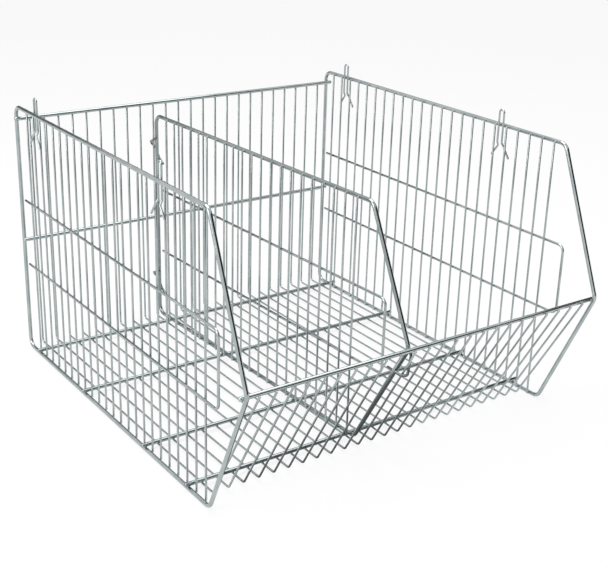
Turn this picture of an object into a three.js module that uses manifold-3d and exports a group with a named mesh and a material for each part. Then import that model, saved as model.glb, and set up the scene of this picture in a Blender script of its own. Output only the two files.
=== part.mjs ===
import * as THREE from "three";
import Module from "manifold-3d";

// Retail dump bin: a stackable basket of plated steel wire with a lift-out divider.
// Millimetres. x runs across, y is zero at the back and negative towards the front, z is up.

// Sizes that drive the whole bin, between wire centre-lines
const width = 610;
const floorDepth = 606;
const lipReach = 90;
const frameHeight = 417;
const lipHeight = 202;

// Wires and fits
const frameWire = 6.35;
const fineWire = 3.2;
const loopWire = 4;
const weldGap = 0.3;
const weldSink = 0.4;
const frameBend = 15;
const wireBend = 6;
const loopBend = 10;
const wireTail = 1;
const arcStep = THREE.MathUtils.degToRad(15);

// Basket wires, rails and crossbars
const wirePitch = 24.7;
const wireMargin = 15;
const backTopRailDrop = 19.2;
const backMidRailHeight = 193.6;
const railProud = 3;
const lipRailClear = 1.5;
const wireSetback = 27;
const crossbarGaps = [0, 7, 15, 20];

// Side grilles
const sidePitch = 25.3;
const firstSideWire = 31.1;
const sideWireMargin = 15;
const sideWireTop = 0.5;
const sideLoopUpper = 262.9;
const sideLoopLower = 152;
const sideLoopAhead = 19.5;
const sideLoopBack = 12;

// Stacking hooks
const hookGaps = [1, 17];
const hookRise = 24.7;
const hookLegGap = 9.6;
const hookLegLength = 27;
const hookStepLength = 6;
const hookFootDrop = 50.6;
const hookFootSpread = 38;
const hookBend = 4;
const hookLoopFlat = 0.1;

// Divider and its clips
const dividerDrop = 39.5;
const dividerTopSetback = 17;
const dividerLipDrop = 8;
const dividerWireIndex = 9;
const dividerFirstWire = 42;
const dividerLoopUpper = 249;
const dividerLoopLower = 137;
const dividerLoopAhead = 21;
const dividerLoopBack = 16.7;
const clipBackHeights = { upper: 317, lower: 74 };
const clipLipDrop = 27;
const clipWire = 4;
const clipPlay = 1;
const clipLegReach = 11;
const clipLegSpread = 24;
const clipApex = 20;
const clipApexShift = 7;
const clipShoulderOut = 4.5;
const clipShoulderRise = 16;
const clipThroatPast = 1;
const clipThroatRise = 6;
const clipBend = 3;

// Offsets that follow from the wires
const railInset = frameWire + weldGap;
const wireInset = railInset - frameWire / 2 - weldGap - fineWire / 2;
const sideInset = frameWire / 2 + weldGap + fineWire / 2;
const loopOffset = (fineWire + loopWire) / 2 - weldSink;
const dividerInset = 2 * railInset;
const backTopRailHeight = frameHeight - backTopRailDrop;

const heavySides = 8;
const fineSides = 6;

const { Manifold, Mesh: ManifoldMesh } = await loadManifold();

async function loadManifold() {
  const library = await Module();
  library.setup();
  return library;
}

function plating() {
  return new THREE.MeshStandardMaterial({ color: 0xb7bdbd, roughness: 0.28, metalness: 1 });
}

// A polyline whose inner corners, or all corners of a closed loop, are rounded to arcs
function rounded(points, radius, closed = false) {
  const path = [];
  points.forEach((corner, i) => {
    const isEnd = !closed && (i === 0 || i === points.length - 1);
    if (isEnd) {
      path.push(corner.clone());
      return;
    }
    const before = points[(i + points.length - 1) % points.length];
    const after = points[(i + 1) % points.length];
    path.push(...cornerArc(before, corner, after, radius));
  });
  return path;
}

function cornerArc(before, corner, after, radius) {
  const back = before.clone().sub(corner).normalize();
  const ahead = after.clone().sub(corner).normalize();
  const halfAngle = back.angleTo(ahead) / 2;
  const bisector = back.clone().add(ahead).normalize();
  const centre = corner.clone().addScaledVector(bisector, radius / Math.sin(halfAngle));
  const tangentLength = radius / Math.tan(halfAngle);
  const start = corner.clone().addScaledVector(back, tangentLength).sub(centre);
  const end = corner.clone().addScaledVector(ahead, tangentLength).sub(centre);
  const turn = start.angleTo(end);
  const steps = Math.max(2, Math.ceil(turn / arcStep));
  const arc = [];
  for (let i = 0; i <= steps; i++) {
    const a = Math.sin(turn * (1 - i / steps)) / Math.sin(turn);
    const b = Math.sin((turn * i) / steps) / Math.sin(turn);
    arc.push(centre.clone().addScaledVector(start, a).addScaledVector(end, b));
  }
  return arc;
}

// A wire of polygonal section along a polyline, mitred at each point. Its flats lie a wire
// radius from the centre-line and one of them faces the given direction at the start.
function wireAlong(path, diameter, sides, facing, closed = false) {
  const count = path.length;
  const positions = [];
  const indices = [];
  const cornerRadius = diameter / 2 / Math.cos(Math.PI / sides);
  const segment = (i) => path[(i + 1) % count].clone().sub(path[(i + count) % count]).normalize();
  let normal = facing.clone().normalize();
  let incoming = closed ? segment(count - 1) : segment(0);
  for (let i = 0; i < count; i++) {
    const isLast = !closed && i === count - 1;
    const outgoing = isLast ? incoming.clone() : segment(i);
    const mitre = incoming.clone().add(outgoing).normalize();
    const across = incoming.clone().cross(normal);
    for (let k = 0; k < sides; k++) {
      const angle = ((k + 0.5) * 2 * Math.PI) / sides;
      const offset = normal.clone().multiplyScalar(Math.cos(angle) * cornerRadius);
      offset.addScaledVector(across, Math.sin(angle) * cornerRadius);
      offset.addScaledVector(incoming, -offset.dot(mitre) / incoming.dot(mitre));
      positions.push(...path[i].clone().add(offset).toArray());
    }
    const turn = new THREE.Quaternion().setFromUnitVectors(incoming, outgoing);
    normal.applyQuaternion(turn);
    incoming = outgoing;
  }
  const rings = closed ? count : count - 1;
  for (let i = 0; i < rings; i++) {
    const near = i * sides;
    const far = ((i + 1) % count) * sides;
    for (let k = 0; k < sides; k++) {
      const next = (k + 1) % sides;
      indices.push(near + k, near + next, far + next);
      indices.push(near + k, far + next, far + k);
    }
  }
  if (!closed) {
    const last = (count - 1) * sides;
    for (let k = 1; k < sides - 1; k++) {
      indices.push(0, k + 1, k);
      indices.push(last, last + k, last + k + 1);
    }
  }
  const geometry = new THREE.BufferGeometry();
  geometry.setAttribute("position", new THREE.Float32BufferAttribute(positions, 3));
  geometry.setIndex(indices);
  return geometry;
}

function toManifold(geometry) {
  const vertProperties = new Float32Array(geometry.getAttribute("position").array);
  const triVerts = new Uint32Array(geometry.getIndex().array);
  return new Manifold(new ManifoldMesh({ numProp: 3, vertProperties, triVerts }));
}

function joined(geometries) {
  const mesh = Manifold.union(geometries.map(toManifold)).getMesh();
  const geometry = new THREE.BufferGeometry();
  geometry.setAttribute("position", new THREE.Float32BufferAttribute(mesh.vertProperties, 3));
  geometry.setIndex(Array.from(mesh.triVerts));
  return geometry;
}

function named(name, geometry) {
  geometry.computeVertexNormals();
  const mesh = new THREE.Mesh(geometry, plating());
  mesh.name = name;
  return mesh;
}

const axisX = new THREE.Vector3(1, 0, 0);
const axisY = new THREE.Vector3(0, 1, 0);
const axisZ = new THREE.Vector3(0, 0, 1);

// The bin's side profile as y, z corners. Edges in order: back, top, slant, lip, floor.
const sideProfile = [
  new THREE.Vector2(0, 0),
  new THREE.Vector2(0, frameHeight),
  new THREE.Vector2(-floorDepth, frameHeight),
  new THREE.Vector2(-floorDepth - lipReach, lipHeight),
  new THREE.Vector2(-floorDepth, 0),
];
const lipCorner = sideProfile[3];
const lipUp = lipCorner.clone().sub(sideProfile[4]).normalize();
const lipInward = new THREE.Vector2(lipUp.y, -lipUp.x);
const lipTurn = lipUp.angleTo(sideProfile[2].clone().sub(lipCorner));
const lipTangent = frameBend * Math.tan(lipTurn / 2);

function inPlane(point, x) {
  return new THREE.Vector3(x, point.x, point.y);
}

// A point on the lip, a distance below the lip corner and a distance inside the lip bar
function onLip(below, inside) {
  return lipCorner.clone().addScaledVector(lipUp, -below).addScaledVector(lipInward, inside);
}

// The basket wires turn up behind the frames' front corners and lean out to the lip rail
const wireFoot = new THREE.Vector2(wireSetback - floorDepth, wireInset);
const wireLipTop = onLip(lipTangent + lipRailClear, wireInset);
const wireLipUp = wireLipTop.clone().sub(wireFoot).normalize();
const wireLipInward = new THREE.Vector2(wireLipUp.y, -wireLipUp.x);

function straightBar(name, y, z, proud, facing) {
  const end = width / 2 + frameWire / 2 + proud;
  const path = [new THREE.Vector3(-end, y, z), new THREE.Vector3(end, y, z)];
  return named(name, wireAlong(path, frameWire, heavySides, facing));
}

function sideFrame(name, x) {
  const corners = sideProfile.map((point) => inPlane(point, x));
  const path = rounded(corners, frameBend, true);
  return named(name, wireAlong(path, frameWire, heavySides, axisX, true));
}

function sideWireY(index) {
  return -(firstSideWire + index * sidePitch);
}

// Upright wires welded to one thicker wire bent into a lying U, as a single mat
function grille(name, uprights, loop) {
  const wires = uprights.ys.map((y) => {
    const path = [
      new THREE.Vector3(uprights.x, y, uprights.bottom),
      new THREE.Vector3(uprights.x, y, uprights.top),
    ];
    return wireAlong(path, fineWire, fineSides, axisX);
  });
  const corners = [
    new THREE.Vector3(loop.x, loop.back, loop.upper),
    new THREE.Vector3(loop.x, loop.front, loop.upper),
    new THREE.Vector3(loop.x, loop.front, loop.lower),
    new THREE.Vector3(loop.x, loop.back, loop.lower),
  ];
  wires.push(wireAlong(rounded(corners, loopBend), loopWire, fineSides, axisX));
  return named(name, joined(wires));
}

function sideGrille(name, side) {
  const count = Math.floor((floorDepth - sideWireMargin - firstSideWire) / sidePitch) + 1;
  const x = side * (width / 2 - sideInset);
  const uprights = {
    x,
    ys: Array.from({ length: count }, (_, i) => sideWireY(i)),
    bottom: -wireTail,
    top: frameHeight + sideWireTop,
  };
  const loop = {
    x: x + side * loopOffset,
    back: -sideLoopBack,
    front: -floorDepth - sideLoopAhead,
    upper: sideLoopUpper,
    lower: sideLoopLower,
  };
  return grille(name, uprights, loop);
}

// One wire down the back, along the floor and up the lip
function basketWire(name, x) {
  const path = rounded(
    [
      inPlane(new THREE.Vector2(-wireInset, backTopRailHeight + wireTail), x),
      inPlane(new THREE.Vector2(-wireInset, wireInset), x),
      inPlane(wireFoot, x),
      inPlane(wireLipTop.clone().addScaledVector(wireLipUp, wireTail), x),
    ],
    wireBend,
  );
  return named(name, wireAlong(path, fineWire, fineSides, axisY));
}

const basketWireCount = Math.floor((width - 2 * wireMargin) / wirePitch) + 1;

function basketWireX(index) {
  return (index - (basketWireCount - 1) / 2) * wirePitch;
}

// A hairpin inside a side frame's top bar, its feet splayed over two side wires from outside
function stackingHook(name, side, gap) {
  const x = side * (width / 2 - sideInset);
  const footX = x + side * (fineWire + weldGap);
  const y = sideWireY(gap + 0.5);
  const leg = hookLegGap / 2;
  const point = (px, dy, dz) => new THREE.Vector3(px, y + dy, frameHeight + dz);
  const stepBottom = -hookLegLength - hookStepLength;
  const half = [
    point(footX, -hookFootSpread / 2, -hookFootDrop),
    point(footX, -leg - wireTail, stepBottom),
    point(x, -leg, -hookLegLength),
  ];
  const otherHalf = half.map((p) => new THREE.Vector3(p.x, 2 * y - p.y, p.z)).reverse();
  const ankles = rounded([...half, point(x, -leg, 0)], hookBend).slice(0, -1);
  const loop = rounded(
    [point(x, -leg, 0), point(x, -leg, hookRise), point(x, leg, hookRise), point(x, leg, 0)],
    leg - hookLoopFlat / 2,
  ).slice(1, -1);
  const otherAnkles = rounded([point(x, leg, 0), ...otherHalf], hookBend).slice(1);
  const path = [...ankles, ...loop, ...otherAnkles];
  return named(name, wireAlong(path, fineWire, fineSides, axisX));
}

// A point of the divider's lip edge, which runs along the basket wires, inside the lip rail
function onDividerLip(height) {
  const start = wireFoot.clone().addScaledVector(wireLipInward, dividerInset - wireInset);
  return start.addScaledVector(wireLipUp, (height - start.y) / wireLipUp.y);
}

// The divider's own profile, with the same five corners as the bin's
function dividerProfile() {
  const top = frameHeight - dividerDrop;
  return [
    new THREE.Vector2(-dividerInset, dividerInset),
    new THREE.Vector2(-dividerInset, top),
    new THREE.Vector2(dividerTopSetback - floorDepth, top),
    onDividerLip(lipHeight - dividerLipDrop),
    onDividerLip(dividerInset),
  ];
}

// The divider stands on its own upright, turned so that its front meets the next basket wire
function divider() {
  const group = new THREE.Group();
  const backInset = -dividerInset;
  group.position.set(basketWireX(dividerWireIndex), backInset, 0);
  group.rotation.z = Math.atan2(wirePitch, backInset - lipClipPoint().x);
  const corners = dividerProfile().map((point) => new THREE.Vector3(0, point.x - backInset, point.y));
  const loopPath = rounded(corners, frameBend, true);
  group.add(named("divider_frame", wireAlong(loopPath, frameWire, heavySides, axisX, true)));

  const depth = -corners[2].y;
  const count = Math.floor((depth - sideWireMargin - dividerFirstWire) / sidePitch) + 1;
  const x = -sideInset;
  const uprights = {
    x,
    ys: Array.from({ length: count }, (_, i) => -(dividerFirstWire + i * sidePitch)),
    bottom: corners[0].z - wireTail,
    top: corners[1].z + sideWireTop,
  };
  const loop = {
    x: x + loopOffset,
    back: -dividerLoopBack,
    front: -floorDepth - dividerLoopAhead - backInset,
    upper: dividerLoopUpper,
    lower: dividerLoopLower,
  };
  group.add(grille("divider_grille", uprights, loop));
  return group;
}

// A hairpin hooked round a basket wire, with a leg on each side of the divider's bar.
// At the bar's centre: out points away from the bin's inside, along runs up the bar.
function dividerClip(name, centre, out, along, upperLegSide) {
  const legSide = (frameWire + clipWire) / 2 + clipPlay;
  const hookSide = (fineWire + clipWire) / 2 + clipPlay;
  const apexUp = -clipApexShift * upperLegSide;
  const wireOut = dividerInset - wireInset;
  const at = (side, outward, up) =>
    centre
      .clone()
      .addScaledVector(axisX, side * upperLegSide)
      .addScaledVector(out, outward)
      .addScaledVector(along, up);
  const path = rounded(
    [
      at(legSide, -clipLegReach, clipLegSpread),
      at(legSide, clipShoulderOut, clipShoulderRise),
      at(hookSide, wireOut + clipThroatPast, apexUp + clipThroatRise),
      at(0, clipApex, apexUp),
      at(-hookSide, wireOut + clipThroatPast, apexUp - clipThroatRise),
      at(-legSide, clipShoulderOut, -clipShoulderRise),
      at(-legSide, -clipLegReach, -clipLegSpread),
    ],
    clipBend,
  );
  return named(name, wireAlong(path, clipWire, fineSides, axisX));
}

function backClip(name, height) {
  const centre = new THREE.Vector3(basketWireX(dividerWireIndex), -dividerInset, height);
  return dividerClip(name, centre, axisY, axisZ, -1);
}

// Where the lip clip sits on the divider's lip bar, as y and z
function lipClipPoint() {
  return dividerProfile()[3].addScaledVector(wireLipUp, -clipLipDrop);
}

function lipClip(name) {
  const centre = inPlane(lipClipPoint(), basketWireX(dividerWireIndex + 1));
  const out = inPlane(wireLipInward.clone().negate(), 0);
  return dividerClip(name, centre, out, inPlane(wireLipUp, 0), 1);
}

function dumpBin() {
  const bin = new THREE.Group();
  bin.name = "dump_bin";
  const sides = { left: -1, right: 1 };
  for (const [label, side] of Object.entries(sides)) {
    bin.add(sideFrame(`${label}_side_frame`, (side * width) / 2));
    bin.add(sideGrille(`${label}_side_grille`, side));
    bin.add(stackingHook(`stacking_hook_${label}_back`, side, hookGaps[0]));
    bin.add(stackingHook(`stacking_hook_${label}_front`, side, hookGaps[1]));
  }
  for (let i = 0; i < basketWireCount; i++) {
    const number = String(i + 1).padStart(2, "0");
    bin.add(basketWire(`basket_wire_${number}`, basketWireX(i)));
  }
  crossbarGaps.forEach((gap, i) => {
    bin.add(straightBar(`floor_crossbar_${i + 1}`, sideWireY(gap + 0.5), railInset, railProud, axisZ));
  });
  bin.add(straightBar("back_top_rail", -railInset, backTopRailHeight, railProud, axisY));
  bin.add(straightBar("back_mid_rail", -railInset, backMidRailHeight, 0, axisY));
  const lipRail = onLip(lipTangent + lipRailClear, railInset);
  bin.add(straightBar("lip_rail", lipRail.x, lipRail.y, railProud, inPlane(lipInward, 0)));
  bin.add(divider());
  bin.add(backClip("divider_clip_back_upper", clipBackHeights.upper));
  bin.add(backClip("divider_clip_back_lower", clipBackHeights.lower));
  bin.add(lipClip("divider_clip_lip"));
  return bin;
}

// The origin is the middle of the bin's box, at its bottom
function centred(bin) {
  bin.updateMatrixWorld(true);
  const box = new THREE.Box3().setFromObject(bin, true);
  const middle = box.getCenter(new THREE.Vector3());
  bin.position.set(-middle.x, -middle.y, -box.min.z);
  bin.updateMatrixWorld(true);
  return bin;
}

export default centred(dumpBin());
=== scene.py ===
import math

import bmesh
import bpy
from mathutils import Matrix, Vector

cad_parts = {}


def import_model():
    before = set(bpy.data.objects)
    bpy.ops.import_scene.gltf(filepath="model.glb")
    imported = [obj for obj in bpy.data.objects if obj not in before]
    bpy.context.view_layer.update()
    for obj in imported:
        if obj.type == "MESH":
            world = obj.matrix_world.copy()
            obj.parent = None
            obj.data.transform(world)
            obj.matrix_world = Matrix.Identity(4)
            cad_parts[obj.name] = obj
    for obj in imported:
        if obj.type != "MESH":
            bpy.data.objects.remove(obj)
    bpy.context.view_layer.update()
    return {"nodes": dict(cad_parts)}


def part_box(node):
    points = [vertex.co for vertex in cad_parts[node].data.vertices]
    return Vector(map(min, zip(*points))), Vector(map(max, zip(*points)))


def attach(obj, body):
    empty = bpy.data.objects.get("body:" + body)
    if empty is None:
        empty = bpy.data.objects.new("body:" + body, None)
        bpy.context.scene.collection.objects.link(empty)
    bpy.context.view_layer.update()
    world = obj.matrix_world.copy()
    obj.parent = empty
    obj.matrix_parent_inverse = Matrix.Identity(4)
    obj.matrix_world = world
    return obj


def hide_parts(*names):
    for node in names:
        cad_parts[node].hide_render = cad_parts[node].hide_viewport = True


# Dresses the wire dump bin: round plated wires, weld nuggets and a white studio.
# Metres, in the frame of the CAD part. x runs across, y to the back, z up.

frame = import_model()

MM = 0.001

# Sizes of the bin, between wire centre-lines
FLOOR_DEPTH = 606 * MM
LIP_REACH = 90 * MM
FRAME_HEIGHT = 417 * MM
LIP_HEIGHT = 202 * MM

# Wires and fits
FRAME_WIRE = 6.35 * MM
FINE_WIRE = 3.2 * MM
LOOP_WIRE = 4 * MM
WELD_GAP = 0.3 * MM
WELD_SINK = 0.4 * MM
FRAME_BEND = 15 * MM
WIRE_BEND = 6 * MM
LOOP_BEND = 10 * MM
WIRE_TAIL = 1 * MM
WIRE_SETBACK = 27 * MM
ARC_STEP = math.radians(7.5)
FRAME_RESOLUTION = 6
FINE_RESOLUTION = 3

# Grilles
SIDE_PITCH = 25.3 * MM
FIRST_SIDE_WIRE = 31.1 * MM
SIDE_WIRE_MARGIN = 15 * MM
SIDE_WIRE_TOP = 0.5 * MM
SIDE_LOOP_LEVELS = (262.9 * MM, 152 * MM)
SIDE_LOOP_AHEAD = 19.5 * MM
SIDE_LOOP_BACK = 12 * MM
DIVIDER_DROP = 39.5 * MM
DIVIDER_TOP_SETBACK = 17 * MM
DIVIDER_LIP_DROP = 8 * MM
DIVIDER_FIRST_WIRE = 42 * MM
DIVIDER_LOOP_LEVELS = (249 * MM, 137 * MM)
DIVIDER_LOOP_AHEAD = 21 * MM
DIVIDER_LOOP_BACK = 16.7 * MM

# Stacking hooks
HOOK_RISE = 24.7 * MM
HOOK_LEG_GAP = 9.6 * MM
HOOK_LEG_LENGTH = 27 * MM
HOOK_STEP_LENGTH = 6 * MM
HOOK_FOOT_DROP = 50.6 * MM
HOOK_FOOT_SPREAD = 38 * MM
HOOK_BEND = 4 * MM
HOOK_LOOP_FLAT = 0.1 * MM

# Divider clips
CLIP_HEIGHTS = {"divider_clip_back_upper": 317 * MM, "divider_clip_back_lower": 74 * MM}
CLIP_LIP_DROP = 27 * MM
CLIP_WIRE = 4 * MM
CLIP_PLAY = 1 * MM
CLIP_LEG_REACH = 11 * MM
CLIP_LEG_SPREAD = 24 * MM
CLIP_APEX = 20 * MM
CLIP_APEX_SHIFT = 7 * MM
CLIP_SHOULDER = (4.5 * MM, 16 * MM)
CLIP_THROAT_PAST = 1 * MM
CLIP_THROAT_RISE = 6 * MM
CLIP_BEND = 3 * MM

# Offsets that follow from the wires
RAIL_INSET = FRAME_WIRE + WELD_GAP
WIRE_INSET = RAIL_INSET - FRAME_WIRE / 2 - WELD_GAP - FINE_WIRE / 2
SIDE_INSET = FRAME_WIRE / 2 + WELD_GAP + FINE_WIRE / 2
LOOP_OFFSET = (FINE_WIRE + LOOP_WIRE) / 2 - WELD_SINK
DIVIDER_INSET = 2 * RAIL_INSET
LIP_RAIL_CLEAR = 1.5 * MM

# Camera at the photograph's angle
PHOTO_WIDTH = 608
FOCAL_PIXELS = 1148.8
SENSOR_WIDTH = 36
CAMERA_AZIMUTH = math.radians(-35.37)
CAMERA_ELEVATION = math.radians(21.62)
CAMERA_ROLL = math.radians(1.67)
CAMERA_DISTANCE = 1.8968
CAMERA_AIM = (54.8 * MM, -300 * MM, 141 * MM)
CAMERA_FAR_CLIP = 100

# Studio: a white floor and world, two soft lamps, and dark cards that only reflections show. The
# flat card under the lip is painted shadow.
FLOOR_SIZE = (40, 40)
FLOOR_TONE = 0.92
FLOOR_VEIL = 0.82
WORLD_LIGHT = 0.7
MATT_ROUGHNESS = 0.9
LAMP_TARGET = (0, 0, 0.2)
LAMPS = {
    "overhead": {"location": (0.0, 0.3, 2.4), "size": (2.6, 1.4), "watts": 30},
    "left_side": {"location": (-2.4, -0.2, 1.3), "size": (0.9, 1.6), "watts": 22},
}
STANDING_FLAGS = {
    "front_flag": {"location": (1.15, -2.8, 1.45), "size": (4.3, 2.6), "tone": 0.012},
    "back_flag": {"location": (0.6, 3.0, 1.3), "size": (5.0, 1.6), "tone": 0.25},
    "right_flag": {"location": (3.0, -0.3, 1.1), "size": (4.4, 1.5), "tone": 0.08},
    "left_flag": {"location": (-3.2, 1.2, 1.1), "size": (3.0, 1.5), "tone": 0.15},
}
# Painted shadow: a flat grey card on the floor under the lip, seen only in reflections, in place of
# the bin's shadow there
LIP_SHADOW_CARD = {"location": (-0.1, -0.325, 0.001), "size": (0.32, 0.23), "tone": 0.2}

# Weld nuggets and cut wire ends
WELD_HALF_WIDTH = 1.9 * MM
WELD_HALF_DEPTH = 1.1 * MM
# Steps from a cut tip to the full wire: distance in radii, and scale of the radius
CUT_END = ((0, 0.62), (0.12, 0.86), (0.4, 1.0))

# Clouds, patches and grain of the metal. Scales are in noise cells per metre.
CLOUD_SCALE = 42.0
CLOUD_DETAIL = 3.0
CLOUD_EDGES = (0.35, 0.68)
PATCH_SCALE = 160.0
PATCH_DETAIL = 4.0
PATCH_EDGES = (0.3, 0.7)
GRAIN_DETAIL = 5.0
GRAIN_DEPTH = 0.2 * MM


def middle(node):
    low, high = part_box(node)
    return (Vector(low) + Vector(high)) / 2


UPRIGHT_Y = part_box("left_side_frame")[1][1] - FRAME_WIRE / 2
FLOOR_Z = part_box("left_side_frame")[0][2] + FRAME_WIRE / 2
SIDE_X = middle("right_side_frame").x
BASKET_WIRES = sorted(name for name in frame["nodes"] if name.startswith("basket_wire"))
CROSSBARS = sorted(name for name in frame["nodes"] if name.startswith("floor_crossbar"))
WIRE_XS = [middle(name).x for name in BASKET_WIRES]
WIRE_PITCH = WIRE_XS[1] - WIRE_XS[0]
# The basket wire that the divider's back stands at, counted from the left
DIVIDER_WIRE = 9

# The side profile as y, z corners. Edges in order: back, top, slant, lip, floor.
PROFILE = [
    Vector((0, 0)),
    Vector((0, FRAME_HEIGHT)),
    Vector((-FLOOR_DEPTH, FRAME_HEIGHT)),
    Vector((-FLOOR_DEPTH - LIP_REACH, LIP_HEIGHT)),
    Vector((-FLOOR_DEPTH, 0)),
]
LIP_UP = (PROFILE[3] - PROFILE[4]).normalized()
LIP_INWARD = Vector((LIP_UP.y, -LIP_UP.x))
LIP_TURN = LIP_UP.angle(PROFILE[2] - PROFILE[3])
LIP_RAIL_BELOW = FRAME_BEND * math.tan(LIP_TURN / 2) + LIP_RAIL_CLEAR


def placed(x, point):
    """A y, z point of the profile as a point of the row frame."""
    return Vector((x, UPRIGHT_Y + point.x, FLOOR_Z + point.y))


def on_lip(below, inside):
    return PROFILE[3] - LIP_UP * below + LIP_INWARD * inside


# The basket wires turn up behind the frames' front corners and lean out to the lip rail
WIRE_FOOT = Vector((WIRE_SETBACK - FLOOR_DEPTH, WIRE_INSET))
WIRE_LIP_TOP = on_lip(LIP_RAIL_BELOW, WIRE_INSET)
WIRE_LIP_UP = (WIRE_LIP_TOP - WIRE_FOOT).normalized()
WIRE_LIP_INWARD = Vector((WIRE_LIP_UP.y, -WIRE_LIP_UP.x))


def corner_arc(before, corner, after, radius):
    back = (before - corner).normalized()
    ahead = (after - corner).normalized()
    half_angle = back.angle(ahead) / 2
    centre = corner + (back + ahead).normalized() * (radius / math.sin(half_angle))
    tangent_length = radius / math.tan(half_angle)
    start = corner + back * tangent_length - centre
    end = corner + ahead * tangent_length - centre
    turn = start.angle(end)
    steps = max(2, math.ceil(turn / ARC_STEP))
    arc = []
    for i in range(steps + 1):
        a = math.sin(turn * (1 - i / steps)) / math.sin(turn)
        b = math.sin(turn * i / steps) / math.sin(turn)
        arc.append(centre + start * a + end * b)
    return arc


def rounded(points, radius, closed=False):
    """A polyline with its inner corners, or all corners of a loop, turned into arcs."""
    path = []
    for i, corner in enumerate(points):
        if not closed and i in (0, len(points) - 1):
            path.append(corner)
            continue
        path.extend(corner_arc(points[i - 1], corner, points[(i + 1) % len(points)], radius))
    return path


def trimmed_end(tip, inner, radius):
    """Points and scales that ease a wire's cut end from a small flat to its full round."""
    inward = (inner - tip).normalized()
    return [(tip + inward * radius * distance, scale) for distance, scale in CUT_END]


def add_spline(curve, path, radius, closed):
    if closed:
        stations = [(point, 1.0) for point in path]
    else:
        start = trimmed_end(path[0], path[1], radius)
        end = trimmed_end(path[-1], path[-2], radius)
        stations = start + [(point, 1.0) for point in path[1:-1]] + end[::-1]
    spline = curve.splines.new("POLY")
    spline.points.add(len(stations) - 1)
    for point, (place, scale) in zip(spline.points, stations):
        point.co = (*place, 1.0)
        point.radius = scale
    spline.use_cyclic_u = closed
    spline.use_smooth = True


def wire_piece(node, body, paths, diameter, closed=False, finish=None, label="wire"):
    """Round wires along the paths, standing for a CAD node."""
    curve = bpy.data.curves.new(f"{node}_{label}", "CURVE")
    curve.dimensions = "3D"
    curve.twist_mode = "MINIMUM"
    curve.bevel_depth = diameter / 2
    curve.bevel_resolution = FRAME_RESOLUTION if diameter > FINE_WIRE else FINE_RESOLUTION
    curve.use_fill_caps = True
    for path in paths:
        add_spline(curve, path, diameter / 2, closed)
    curve.materials.append(finish or PLATING)
    piece = bpy.data.objects.new(f"{node}_{label}", curve)
    bpy.context.scene.collection.objects.link(piece)
    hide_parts(node)
    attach(piece, body)


# Materials

def noise(nodes, links, coordinates, scale, detail):
    texture = nodes.new("ShaderNodeTexNoise")
    texture.inputs["Scale"].default_value = scale
    texture.inputs["Detail"].default_value = detail
    links.new(coordinates, texture.inputs["Vector"])
    return texture.outputs["Fac"]


def ramp(nodes, links, factor, stops):
    colours = nodes.new("ShaderNodeValToRGB")
    for element, (position, colour) in zip(colours.color_ramp.elements, stops):
        element.position = position
        element.color = (*colour, 1.0)
    links.new(factor, colours.inputs["Fac"])
    return colours.outputs["Color"]


def metal(name, tints, roughness, grain, grain_scale):
    """A plated metal: cloudy tint, patchy gloss and a fine surface grain."""
    material = bpy.data.materials.new(name)
    material.use_nodes = True
    nodes = material.node_tree.nodes
    links = material.node_tree.links
    shader = nodes["Principled BSDF"]
    shader.inputs["Metallic"].default_value = 1.0
    place = nodes.new("ShaderNodeTexCoord").outputs["Object"]
    cloud = noise(nodes, links, place, CLOUD_SCALE, CLOUD_DETAIL)
    tint = ramp(nodes, links, cloud, zip(CLOUD_EDGES, tints))
    links.new(tint, shader.inputs["Base Color"])
    patches = noise(nodes, links, place, PATCH_SCALE, PATCH_DETAIL)
    spread = nodes.new("ShaderNodeMapRange")
    spread.inputs["From Min"].default_value = PATCH_EDGES[0]
    spread.inputs["From Max"].default_value = PATCH_EDGES[1]
    spread.inputs["To Min"].default_value = roughness[0]
    spread.inputs["To Max"].default_value = roughness[1]
    links.new(patches, spread.inputs["Value"])
    links.new(spread.outputs["Result"], shader.inputs["Roughness"])
    bump = nodes.new("ShaderNodeBump")
    bump.inputs["Strength"].default_value = grain
    bump.inputs["Distance"].default_value = GRAIN_DEPTH
    links.new(noise(nodes, links, place, grain_scale, GRAIN_DETAIL), bump.inputs["Height"])
    links.new(bump.outputs["Normal"], shader.inputs["Normal"])
    return material


PLATING = metal(
    "zinc_plating",
    tints=((0.37, 0.42, 0.425), (0.47, 0.51, 0.505)),
    roughness=(0.07, 0.18),
    grain=0.1,
    grain_scale=700.0,
)
# Painted shade: a darker copy of the zinc plating for the crossbars and the divider frame, standing
# in for the darker reflections those bars show
SHADED_PLATING = metal(
    "shaded_plating",
    tints=((0.27, 0.31, 0.315), (0.35, 0.385, 0.38)),
    roughness=(0.09, 0.2),
    grain=0.1,
    grain_scale=700.0,
)
SPRING = metal(
    "spring_wire",
    tints=((0.13, 0.145, 0.15), (0.21, 0.23, 0.23)),
    roughness=(0.16, 0.32),
    grain=0.2,
    grain_scale=900.0,
)
WELDED = metal(
    "weld_metal",
    tints=((0.28, 0.31, 0.31), (0.40, 0.42, 0.41)),
    roughness=(0.24, 0.42),
    grain=0.4,
    grain_scale=1100.0,
)


# Weld nuggets

def weld_piece(name, body, welds):
    """One mesh of flattened nuggets. A weld is its place and the direction between the wires."""
    mesh = bpy.data.meshes.new(name)
    shape = bmesh.new()
    for place, normal in welds:
        turn = normal.to_track_quat("Z", "Y").to_matrix().to_4x4()
        size = Matrix.Diagonal((WELD_HALF_WIDTH, WELD_HALF_WIDTH, WELD_HALF_DEPTH, 1.0))
        seat = Matrix.Translation(place) @ turn @ size
        bmesh.ops.create_icosphere(shape, subdivisions=2, radius=1.0, matrix=seat)
    for face in shape.faces:
        face.smooth = True
    shape.to_mesh(mesh)
    shape.free()
    mesh.materials.append(WELDED)
    piece = bpy.data.objects.new(name, mesh)
    bpy.context.scene.collection.objects.link(piece)
    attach(piece, body)


AXIS_X = Vector((1, 0, 0))
AXIS_Y = Vector((0, 1, 0))
AXIS_Z = Vector((0, 0, 1))


# The basket

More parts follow.
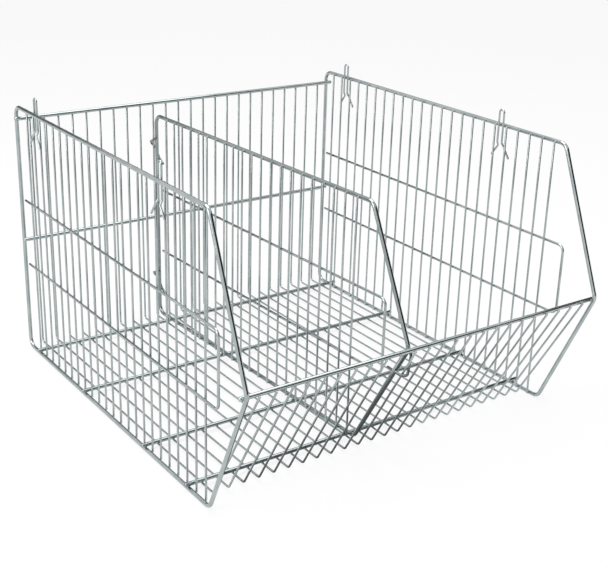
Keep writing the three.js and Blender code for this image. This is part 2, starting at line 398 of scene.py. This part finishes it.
def side_frames():
    for label, side in (("left", -1), ("right", 1)):
        corners = [placed(side * SIDE_X, point) for point in PROFILE]
        outline = rounded(corners, FRAME_BEND, closed=True)
        wire_piece(f"{label}_side_frame", "basket", [outline], FRAME_WIRE, closed=True)


def upright_paths(x, ys, bottom, top):
    return [[Vector((x, y, bottom)), Vector((x, y, top))] for y in ys]


def loop_path(x, back, front, levels):
    """One wire bent into a lying U, in the plane of the grille."""
    upper, lower = levels
    corners = [
        Vector((x, back, upper)),
        Vector((x, front, upper)),
        Vector((x, front, lower)),
        Vector((x, back, lower)),
    ]
    return rounded(corners, LOOP_BEND)


def grille(node, body, uprights, loop):
    wire_piece(node, body, uprights, FINE_WIRE)
    wire_piece(node, body, [loop], LOOP_WIRE, label="loop")


def side_wire_ys():
    count = math.floor((FLOOR_DEPTH - SIDE_WIRE_MARGIN - FIRST_SIDE_WIRE) / SIDE_PITCH) + 1
    return [UPRIGHT_Y - FIRST_SIDE_WIRE - i * SIDE_PITCH for i in range(count)]


def side_grilles():
    welds = []
    levels = [FLOOR_Z + level for level in SIDE_LOOP_LEVELS]
    top = FLOOR_Z + FRAME_HEIGHT + SIDE_WIRE_TOP
    front = UPRIGHT_Y - FLOOR_DEPTH - SIDE_LOOP_AHEAD
    for label, side in (("left", -1), ("right", 1)):
        x = side * (SIDE_X - SIDE_INSET)
        loop_x = x + side * LOOP_OFFSET
        uprights = upright_paths(x, side_wire_ys(), FLOOR_Z - WIRE_TAIL, top)
        loop = loop_path(loop_x, UPRIGHT_Y - SIDE_LOOP_BACK, front, levels)
        grille(f"{label}_side_grille", "basket", uprights, loop)
        contact = side * (SIDE_X - (FRAME_WIRE + WELD_GAP) / 2)
        for y in side_wire_ys():
            welds += [(Vector((contact, y, FLOOR_Z + z)), AXIS_X) for z in (0, FRAME_HEIGHT)]
            welds += [(Vector(((x + loop_x) / 2, y, z)), AXIS_X) for z in levels]
    weld_piece("side_welds", "basket", welds)


def straight_bars():
    bars = [*CROSSBARS, "back_top_rail", "back_mid_rail", "lip_rail"]
    for node in bars:
        low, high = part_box(node)
        centre = middle(node)
        path = [Vector((low[0], centre.y, centre.z)), Vector((high[0], centre.y, centre.z))]
        # The crossbars take the darker copy of the plating, which is painted shade
        finish = SHADED_PLATING if node in CROSSBARS else PLATING
        wire_piece(node, "basket", [path], FRAME_WIRE, finish=finish)


def basket_wires():
    top = middle("back_top_rail").z - FLOOR_Z + WIRE_TAIL
    profile = [
        Vector((-WIRE_INSET, top)),
        Vector((-WIRE_INSET, WIRE_INSET)),
        WIRE_FOOT,
        WIRE_LIP_TOP + WIRE_LIP_UP * WIRE_TAIL,
    ]
    for node, x in zip(BASKET_WIRES, WIRE_XS):
        path = rounded([placed(x, point) for point in profile], WIRE_BEND)
        wire_piece(node, "basket", [path], FINE_WIRE)


def basket_welds():
    """Where the bars cross the basket wires and the side frames."""
    inner = WIRE_INSET + (FINE_WIRE + WELD_GAP) / 2
    outer = (FRAME_WIRE + WELD_GAP) / 2
    lip_normal = Vector((0, LIP_INWARD.x, LIP_INWARD.y))
    rails = [middle(node).z for node in ("back_top_rail", "back_mid_rail")]
    bars = [middle(node).y for node in CROSSBARS]
    welds = []
    for x in WIRE_XS:
        welds += [(Vector((x, y, FLOOR_Z + inner)), AXIS_Z) for y in bars]
        welds += [(Vector((x, UPRIGHT_Y - inner, z)), AXIS_Y) for z in rails]
        welds.append((placed(x, on_lip(LIP_RAIL_BELOW, inner)), lip_normal))
    for x in (-SIDE_X, SIDE_X):
        welds += [(Vector((x, y, FLOOR_Z + outer)), AXIS_Z) for y in bars]
        welds += [(Vector((x, UPRIGHT_Y - outer, z)), AXIS_Y) for z in rails]
        welds.append((placed(x, on_lip(LIP_RAIL_BELOW, outer)), lip_normal))
    weld_piece("basket_welds", "basket", welds)


def stacking_hooks():
    welds = []
    top = FLOOR_Z + FRAME_HEIGHT
    leg = HOOK_LEG_GAP / 2
    for node in sorted(name for name in frame["nodes"] if name.startswith("stacking_hook")):
        centre = middle(node)
        side = math.copysign(1, centre.x)
        x = side * (SIDE_X - SIDE_INSET)
        foot_x = x + side * (FINE_WIRE + WELD_GAP)
        half = [
            Vector((foot_x, -HOOK_FOOT_SPREAD / 2, -HOOK_FOOT_DROP)),
            Vector((foot_x, -leg - WIRE_TAIL, -HOOK_LEG_LENGTH - HOOK_STEP_LENGTH)),
            Vector((x, -leg, -HOOK_LEG_LENGTH)),
        ]
        knee = Vector((x, -leg, 0))
        crown = Vector((x, -leg, HOOK_RISE))
        mirror = [Vector((p.x, -p.y, p.z)) for p in (crown, knee, half[2], half[1], half[0])]
        ankle = rounded([*half, knee], HOOK_BEND)[:-1]
        loop = rounded([knee, crown, mirror[0], mirror[1]], leg - HOOK_LOOP_FLAT / 2)[1:-1]
        other_ankle = rounded(mirror[1:], HOOK_BEND)[1:]
        path = [Vector((p.x, centre.y + p.y, top + p.z)) for p in ankle + loop + other_ankle]
        wire_piece(node, "basket", [path], FINE_WIRE)
        contact = side * (SIDE_X - (FRAME_WIRE + WELD_GAP) / 2)
        welds += [(Vector((contact, centre.y + y, top)), AXIS_X) for y in (-leg, leg)]
        foot_contact = x + side * (FINE_WIRE + WELD_GAP) / 2
        crossing = SIDE_PITCH / 2
        run = (crossing - leg - WIRE_TAIL) / (HOOK_FOOT_SPREAD / 2 - leg - WIRE_TAIL)
        stepped = HOOK_LEG_LENGTH + HOOK_STEP_LENGTH
        drop = stepped + run * (HOOK_FOOT_DROP - stepped)
        for y in (-crossing, crossing):
            welds.append((Vector((foot_contact, centre.y + y, top - drop)), AXIS_X))
    weld_piece("hook_welds", "basket", welds)


# The divider and its clips

def on_divider_lip(height):
    """A point of the divider's lip edge, which runs along the basket wires, inside the lip rail."""
    start = WIRE_FOOT + WIRE_LIP_INWARD * (DIVIDER_INSET - WIRE_INSET)
    return start + WIRE_LIP_UP * ((height - start.y) / WIRE_LIP_UP.y)


def divider_profile():
    top = FRAME_HEIGHT - DIVIDER_DROP
    return [
        Vector((-DIVIDER_INSET, DIVIDER_INSET)),
        Vector((-DIVIDER_INSET, top)),
        Vector((DIVIDER_TOP_SETBACK - FLOOR_DEPTH, top)),
        on_divider_lip(LIP_HEIGHT - DIVIDER_LIP_DROP),
        on_divider_lip(DIVIDER_INSET),
    ]


def lip_clip_point():
    return divider_profile()[3] - WIRE_LIP_UP * CLIP_LIP_DROP


def divider_place():
    """From the divider's own upright, in its plane, to the row frame."""
    turn = math.atan2(WIRE_PITCH, -DIVIDER_INSET - lip_clip_point().x)
    pivot = Vector((WIRE_XS[DIVIDER_WIRE], UPRIGHT_Y - DIVIDER_INSET, FLOOR_Z))
    return Matrix.Translation(pivot) @ Matrix.Rotation(turn, 4, "Z")


def divider():
    place = divider_place()
    corners = [Vector((0, point.x + DIVIDER_INSET, point.y)) for point in divider_profile()]
    outline = [place @ point for point in rounded(corners, FRAME_BEND, closed=True)]
    # The divider frame takes the darker copy of the plating, which is painted shade
    wire_piece("divider_frame", "divider", [outline], FRAME_WIRE, closed=True, finish=SHADED_PLATING)

    bottom = corners[0].z
    top = corners[1].z
    depth = -corners[2].y
    count = math.floor((depth - SIDE_WIRE_MARGIN - DIVIDER_FIRST_WIRE) / SIDE_PITCH) + 1
    ys = [-DIVIDER_FIRST_WIRE - i * SIDE_PITCH for i in range(count)]
    x = -SIDE_INSET
    loop_x = x + LOOP_OFFSET
    loop_front = DIVIDER_INSET - FLOOR_DEPTH - DIVIDER_LOOP_AHEAD
    uprights = upright_paths(x, ys, bottom - WIRE_TAIL, top + SIDE_WIRE_TOP)
    turned = [[place @ point for point in path] for path in uprights]
    loop = loop_path(loop_x, -DIVIDER_LOOP_BACK, loop_front, DIVIDER_LOOP_LEVELS)
    grille("divider_grille", "divider", turned, [place @ point for point in loop])

    contact = -(FRAME_WIRE + WELD_GAP) / 2
    across = place.to_3x3() @ AXIS_X
    welds = []
    for y in ys:
        welds += [(place @ Vector((contact, y, z)), across) for z in (bottom, top)]
        welds += [(place @ Vector(((x + loop_x) / 2, y, z)), across) for z in DIVIDER_LOOP_LEVELS]
    weld_piece("divider_welds", "divider", welds)


def clip_path(centre, out, along, upper_side):
    """A hairpin round a basket wire with a leg on each side of the divider's bar."""
    leg_side = (FRAME_WIRE + CLIP_WIRE) / 2 + CLIP_PLAY
    hook_side = (FINE_WIRE + CLIP_WIRE) / 2 + CLIP_PLAY
    throat = DIVIDER_INSET - WIRE_INSET + CLIP_THROAT_PAST
    apex_up = -CLIP_APEX_SHIFT * upper_side
    stations = [
        (leg_side, -CLIP_LEG_REACH, CLIP_LEG_SPREAD),
        (leg_side, *CLIP_SHOULDER),
        (hook_side, throat, apex_up + CLIP_THROAT_RISE),
        (0, CLIP_APEX, apex_up),
        (-hook_side, throat, apex_up - CLIP_THROAT_RISE),
        (-leg_side, CLIP_SHOULDER[0], -CLIP_SHOULDER[1]),
        (-leg_side, -CLIP_LEG_REACH, -CLIP_LEG_SPREAD),
    ]
    points = [
        centre + AXIS_X * (side * upper_side) + out * outward + along * up
        for side, outward, up in stations
    ]
    return rounded(points, CLIP_BEND)


def divider_clips():
    for node, height in CLIP_HEIGHTS.items():
        centre = placed(WIRE_XS[DIVIDER_WIRE], Vector((-DIVIDER_INSET, height)))
        path = clip_path(centre, AXIS_Y, AXIS_Z, -1)
        wire_piece(node, "basket", [path], CLIP_WIRE, finish=SPRING)
    centre = placed(WIRE_XS[DIVIDER_WIRE + 1], lip_clip_point())
    out = Vector((0, -WIRE_LIP_INWARD.x, -WIRE_LIP_INWARD.y))
    along = Vector((0, WIRE_LIP_UP.x, WIRE_LIP_UP.y))
    path = clip_path(centre, out, along, 1)
    wire_piece("divider_clip_lip", "basket", [path], CLIP_WIRE, finish=SPRING)


# The studio

def light_path_mix(nodes, links, lit, shown):
    """Shows one shader to the camera and to reflections, and lights with the other."""
    rays = nodes.new("ShaderNodeLightPath")
    either = nodes.new("ShaderNodeMath")
    either.operation = "MAXIMUM"
    links.new(rays.outputs["Is Camera Ray"], either.inputs[0])
    links.new(rays.outputs["Is Glossy Ray"], either.inputs[1])
    both = nodes.new("ShaderNodeMath")
    both.operation = "MAXIMUM"
    links.new(either.outputs[0], both.inputs[0])
    links.new(rays.outputs["Is Transmission Ray"], both.inputs[1])
    mix = nodes.new("ShaderNodeMixShader")
    links.new(both.outputs[0], mix.inputs["Fac"])
    links.new(lit, mix.inputs[1])
    links.new(shown, mix.inputs[2])
    return mix.outputs[0]


def world():
    scene_world = bpy.data.worlds.new("studio")
    scene_world.use_nodes = True
    nodes = scene_world.node_tree.nodes
    links = scene_world.node_tree.links
    lit = nodes["Background"]
    lit.inputs["Color"].default_value = (1, 1, 1, 1)
    lit.inputs["Strength"].default_value = WORLD_LIGHT
    shown = nodes.new("ShaderNodeBackground")
    shown.inputs["Color"].default_value = (1, 1, 1, 1)
    shown.inputs["Strength"].default_value = 1.0
    surface = light_path_mix(nodes, links, lit.outputs[0], shown.outputs[0])
    links.new(surface, nodes["World Output"].inputs["Surface"])
    bpy.context.scene.world = scene_world


def floor_material():
    material = bpy.data.materials.new("pale_floor")
    material.use_nodes = True
    nodes = material.node_tree.nodes
    links = material.node_tree.links
    matt = nodes["Principled BSDF"]
    matt.inputs["Base Color"].default_value = (FLOOR_TONE, FLOOR_TONE, FLOOR_TONE, 1)
    matt.inputs["Roughness"].default_value = MATT_ROUGHNESS
    glow = nodes.new("ShaderNodeEmission")
    glow.inputs["Color"].default_value = (1, 1, 1, 1)
    glow.inputs["Strength"].default_value = 1.0
    veil = nodes.new("ShaderNodeMixShader")
    veil.inputs["Fac"].default_value = FLOOR_VEIL
    links.new(matt.outputs[0], veil.inputs[1])
    links.new(glow.outputs[0], veil.inputs[2])
    surface = light_path_mix(nodes, links, matt.outputs[0], veil.outputs[0])
    links.new(surface, nodes["Material Output"].inputs["Surface"])
    return material


def plane(name, size, material):
    mesh = bpy.data.meshes.new(name)
    half_width = size[0] / 2
    half_depth = size[1] / 2
    corners = [
        (-half_width, -half_depth, 0),
        (half_width, -half_depth, 0),
        (half_width, half_depth, 0),
        (-half_width, half_depth, 0),
    ]
    mesh.from_pydata(corners, [], [(0, 1, 2, 3)])
    mesh.materials.append(material)
    sheet = bpy.data.objects.new(name, mesh)
    bpy.context.scene.collection.objects.link(sheet)
    return sheet


def aimed(location, target):
    return (Vector(target) - Vector(location)).to_track_quat("-Z", "Y").to_euler()


def lamp(name, location, size, watts):
    light = bpy.data.lights.new(name, "AREA")
    light.shape = "RECTANGLE"
    light.size, light.size_y = size
    light.energy = watts
    holder = bpy.data.objects.new(name, light)
    holder.location = location
    holder.rotation_euler = aimed(location, LAMP_TARGET)
    bpy.context.scene.collection.objects.link(holder)


def flag(name, location, size, tone, flat=False):
    """A dark card that the camera doesn't see, for the dark stripes in the bright wire."""
    material = bpy.data.materials.new(name)
    material.use_nodes = True
    shader = material.node_tree.nodes["Principled BSDF"]
    shader.inputs["Base Color"].default_value = (tone, tone, tone, 1)
    shader.inputs["Roughness"].default_value = MATT_ROUGHNESS
    card = plane(name, size, material)
    card.location = location
    if not flat:
        card.rotation_euler = aimed(location, (0, 0, location[2]))
    card.visible_camera = False
    card.visible_diffuse = False
    card.visible_shadow = False


def studio():
    world()
    plane("floor", FLOOR_SIZE, floor_material())
    for name, values in LAMPS.items():
        lamp(name, **values)
    for name, values in STANDING_FLAGS.items():
        flag(name, **values)
    # The flat card under the lip is painted shadow
    flag("lip_shadow_card", **LIP_SHADOW_CARD, flat=True)


def camera():
    cos_el = math.cos(CAMERA_ELEVATION)
    sin_el = math.sin(CAMERA_ELEVATION)
    cos_az = math.cos(CAMERA_AZIMUTH)
    sin_az = math.sin(CAMERA_AZIMUTH)
    ahead = Vector((-sin_az * cos_el, cos_az * cos_el, -sin_el))
    right = Vector((cos_az, sin_az, 0))
    up = right.cross(ahead)
    rolled_right = right * math.cos(CAMERA_ROLL) + up * math.sin(CAMERA_ROLL)
    rolled_up = up * math.cos(CAMERA_ROLL) - right * math.sin(CAMERA_ROLL)
    aim = Vector((CAMERA_AIM[0], UPRIGHT_Y + CAMERA_AIM[1], FLOOR_Z + CAMERA_AIM[2]))
    turn = Matrix((rolled_right, rolled_up, -ahead)).transposed().to_4x4()
    data = bpy.data.cameras.new("photo_camera")
    data.sensor_fit = "HORIZONTAL"
    data.sensor_width = SENSOR_WIDTH
    data.lens = FOCAL_PIXELS / PHOTO_WIDTH * SENSOR_WIDTH
    data.clip_end = CAMERA_FAR_CLIP
    holder = bpy.data.objects.new("photo_camera", data)
    holder.matrix_world = Matrix.Translation(aim - ahead * CAMERA_DISTANCE) @ turn
    bpy.context.scene.collection.objects.link(holder)
    bpy.context.scene.camera = holder


side_frames()
side_grilles()
straight_bars()
basket_wires()
basket_welds()
stacking_hooks()
divider()
divider_clips()
studio()
camera()
bpy.context.scene.view_settings.view_transform = "Standard"
